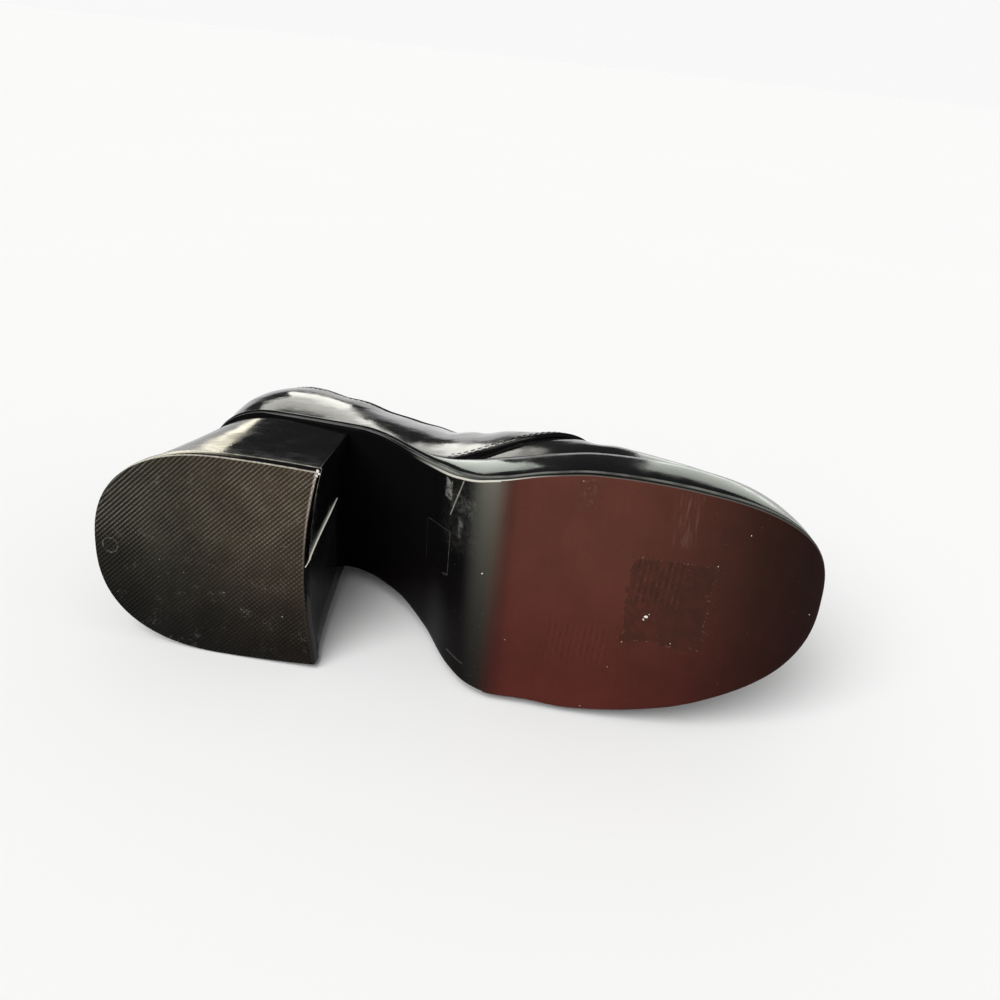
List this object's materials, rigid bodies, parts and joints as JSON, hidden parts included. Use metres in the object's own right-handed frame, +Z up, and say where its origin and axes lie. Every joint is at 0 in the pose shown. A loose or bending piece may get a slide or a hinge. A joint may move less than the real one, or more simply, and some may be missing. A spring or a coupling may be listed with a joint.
{
  "type": "platform derby shoe",
  "caption": "Left platform derby shoe with a flared block heel, lying on its outer side with the whole sole in view.",
  "frame": {"origin": "centre of the shoe's bounding box, on the floor it lies on", "axes": "+X from heel to toe, +Z up from the floor, +Y the way the collar opens; the sole faces -Y"},
  "size_m": [0.2618, 0.1514, 0.093],
  "materials": {
    "heel_rubber": "matt, fine ribs",
    "covered_heel": "high gloss",
    "outsole_rubber": "matt, oxblood tread with a black glossy waist",
    "covered_platform": "high gloss",
    "lining_board": "matt",
    "upper_leather": "high gloss",
    "quarter_leather": "high gloss",
    "tongue_leather": "high gloss",
    "lace_cord": "waxed",
    "eyelet_metal": "black, satin"
  },
  "bodies": {
    "root": {"heel_top_piece": "heel_rubber", "heel_block": "covered_heel", "outsole": "outsole_rubber", "platform": "covered_platform", "insole": "lining_board", "upper": "upper_leather", "quarters": "quarter_leather", "tongue": "tongue_leather", "lace": "lace_cord", "eyelet_lateral_1": "eyelet_metal", "eyelet_lateral_2": "eyelet_metal", "eyelet_lateral_3": "eyelet_metal", "eyelet_lateral_4": "eyelet_metal", "eyelet_lateral_5": "eyelet_metal", "eyelet_medial_1": "eyelet_metal", "eyelet_medial_2": "eyelet_metal", "eyelet_medial_3": "eyelet_metal", "eyelet_medial_4": "eyelet_metal", "eyelet_medial_5": "eyelet_metal"}
  },
  "joints": []
}
